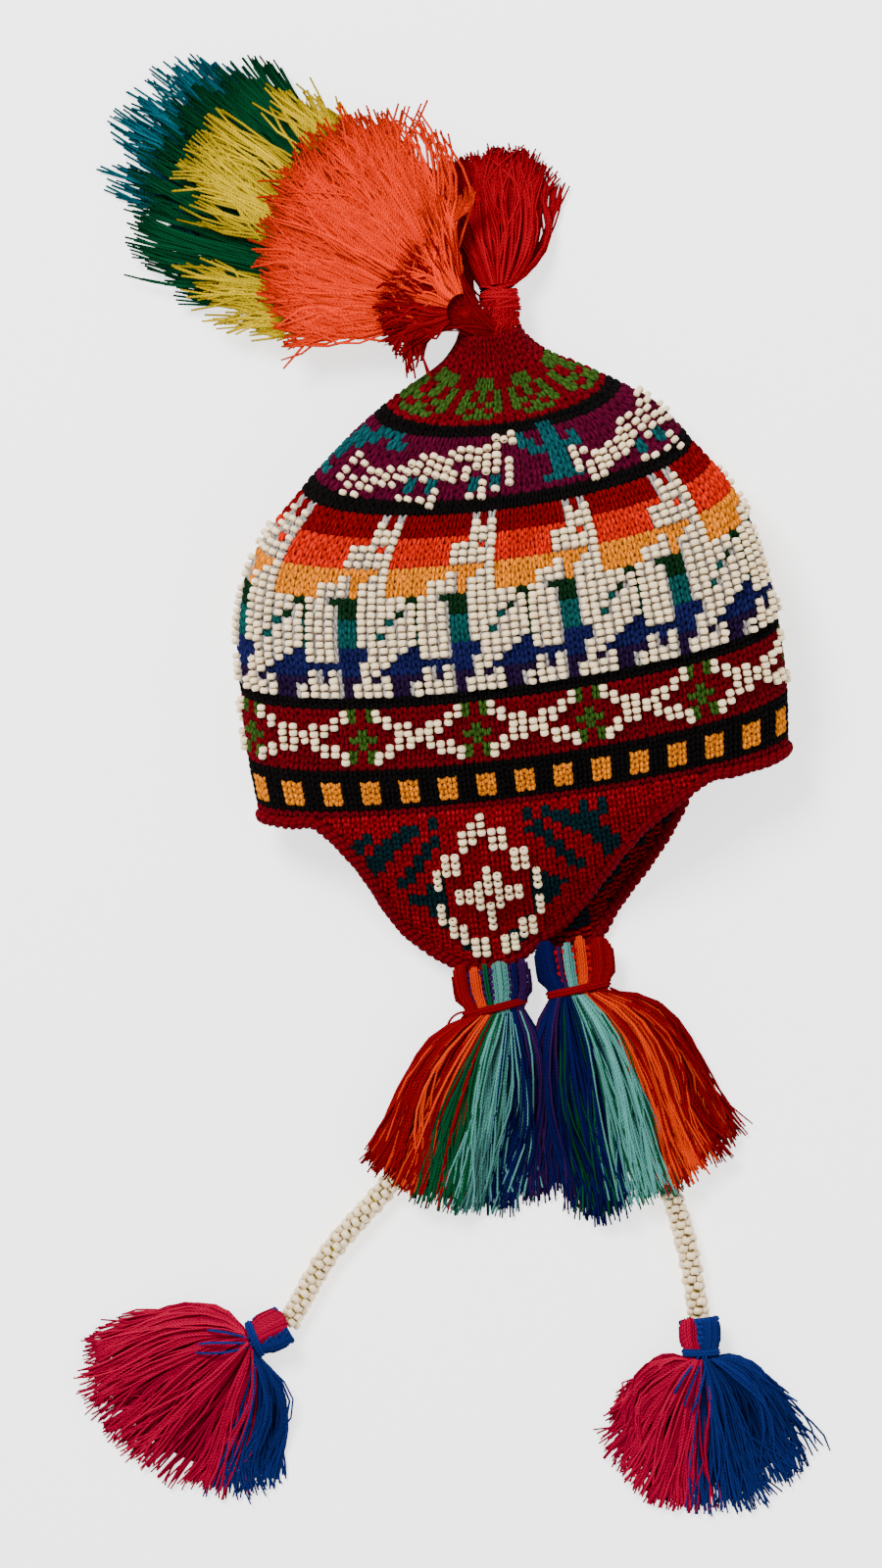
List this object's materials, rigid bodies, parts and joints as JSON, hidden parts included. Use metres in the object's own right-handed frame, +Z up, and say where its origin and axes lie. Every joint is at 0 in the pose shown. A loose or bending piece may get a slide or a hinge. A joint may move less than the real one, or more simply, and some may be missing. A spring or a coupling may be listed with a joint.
{
  "type": "chullo hat",
  "caption": "Knitted chullo hat lying flat, with patterned crown, ear flaps, looped yarn tassels, bead ropes with end tassels and a layered yarn plume.",
  "frame": {"origin": "middle of the crown's resting face, on the surface that the hat lies on", "axes": "+Y from the rim towards the hat's top, +X to the right as seen from above, +Z up from the surface"},
  "size_m": [0.3233, 0.6575, 0.0767],
  "materials": {
    "knit_crown": "knitted yarn",
    "knit_flap": "knitted yarn",
    "crochet_edging": "crocheted yarn",
    "tuft_red": "loose yarn",
    "plume_dark_red": "loose yarn",
    "plume_orange": "loose yarn",
    "plume_yellow": "loose yarn",
    "plume_green": "loose yarn",
    "plume_blue": "loose yarn",
    "tassel_yarn": "loose yarn in bands of colour",
    "tie_red": "wound yarn",
    "tie_navy": "wound yarn",
    "end_tassel_yarn": "loose yarn in two colours",
    "seed_beads": "opaque glazed seed beads"
  },
  "bodies": {
    "root": {"crown": "knit_crown", "ear_flap_near": "knit_flap", "ear_flap_far": "knit_flap", "rim_edging": "crochet_edging", "plume_knot": "plume_dark_red", "plume_tuft_red": "tuft_red", "plume_base_red": "plume_dark_red", "plume_orange": "plume_orange", "plume_yellow": "plume_yellow", "plume_green": "plume_green", "plume_blue": "plume_blue", "flap_tassel_near": "tassel_yarn", "flap_tassel_far": "tassel_yarn", "flap_tie_near": "tie_red", "flap_tie_far": "tie_red", "bead_rope_left": "seed_beads", "bead_rope_right": "seed_beads", "end_tassel_left": "end_tassel_yarn", "end_tassel_right": "end_tassel_yarn", "end_tie_left": "tie_navy", "end_tie_right": "tie_navy"}
  },
  "joints": []
}
